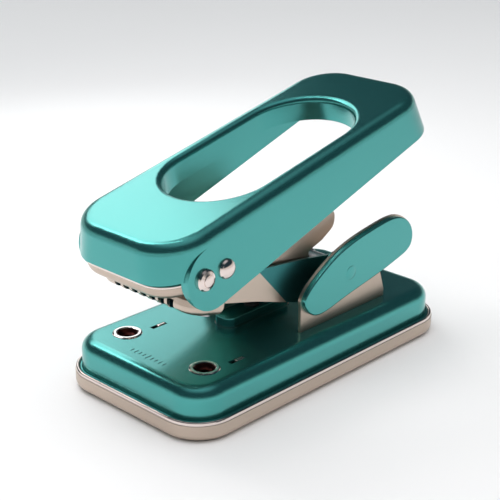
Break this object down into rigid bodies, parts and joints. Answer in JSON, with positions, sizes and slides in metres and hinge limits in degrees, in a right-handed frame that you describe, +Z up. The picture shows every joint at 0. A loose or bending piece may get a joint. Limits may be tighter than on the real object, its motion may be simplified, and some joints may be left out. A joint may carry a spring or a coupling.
{
  "type": "hole punch",
  "caption": "Desk hole punch for paper, with a looped teal handle, a sprung guide arm with punch pins, a covered base and a chip tray that pulls off below.",
  "frame": {"origin": "centre of the underside of the non-slip pad, in the plane of the desk", "axes": "+Z up, +Y from the punch pins back towards the hinge, +X to the right across the base"},
  "size_m": [0.1272, 0.2427, 0.1683],
  "materials": {
    "teal": "satin metallic",
    "champagne": "satin nickel",
    "polished": "polished",
    "steel": "ground",
    "spring_wire": "drawn wire",
    "black_rubber": "matt"
  },
  "bodies": {
    "tray": {"chip_tray": "champagne", "non_slip_pad": "black_rubber", "rim_bead": "polished", "cover_seal": "black_rubber"},
    "base": {"base_cover": "teal", "cover_flange": "teal", "die_plate": "steel", "left_die": "polished", "right_die": "polished", "paper_stops": "polished", "rear_bracket": "champagne", "left_ear_panel": "teal", "right_ear_panel": "teal", "hinge_pin": "steel", "left_hinge_sleeve": "teal", "right_hinge_sleeve": "teal", "stop_block": "teal", "block_trim": "polished", "arm_bumper": "black_rubber", "base_rivets": "steel"},
    "guide_arm": {"guide_arm": "champagne", "nose_block": "champagne", "stop_lugs": "steel", "head_pan": "champagne", "head_bead": "polished", "left_guide_bush": "steel", "right_guide_bush": "steel", "spring_sleeve": "steel", "arm_spring": "spring_wire", "left_punch_spring": "spring_wire", "right_punch_spring": "spring_wire"},
    "left_punch": {"left_punch": "steel"},
    "right_punch": {"right_punch": "steel"},
    "handle": {"handle_shell": "teal", "handle_frame": "champagne", "stop_bar": "polished", "push_bar": "polished"}
  },
  "joints": [
    {"name": "base_lift", "type": "slide", "parent": "tray", "child": "base", "axis": [0, 0, 1], "range_m": [0, 0.03]},
    {"name": "arm_close", "type": "hinge", "parent": "base", "child": "guide_arm", "pos_m": [0, 0.034, 0.061], "axis": [1, 0, 0], "range_deg": [0, 15.4], "stiffness_Nm_per_rad": 1.6, "springref_deg": -80.21},
    {"name": "handle_press", "type": "hinge", "parent": "guide_arm", "child": "handle", "pos_m": [0, 0.034, 0.061], "axis": [1, 0, 0], "range_deg": [0, 2.8], "stiffness_Nm_per_rad": 10, "springref_deg": -8.59, "deforming": ["left_punch_spring", "right_punch_spring"]},
    {"name": "left_punch_slide", "type": "slide", "parent": "guide_arm", "child": "left_punch", "axis": [0, -0.2656, -0.9641], "range_m": [0, 0.006]},
    {"name": "right_punch_slide", "type": "slide", "parent": "guide_arm", "child": "right_punch", "axis": [0, -0.2656, -0.9641], "range_m": [0, 0.006]}
  ],
  "couplings": [
    {"joint": "left_punch_slide", "follows": "handle_press", "m_per_rad": 0.12008},
    {"joint": "right_punch_slide", "follows": "handle_press", "m_per_rad": 0.12008}
  ]
}
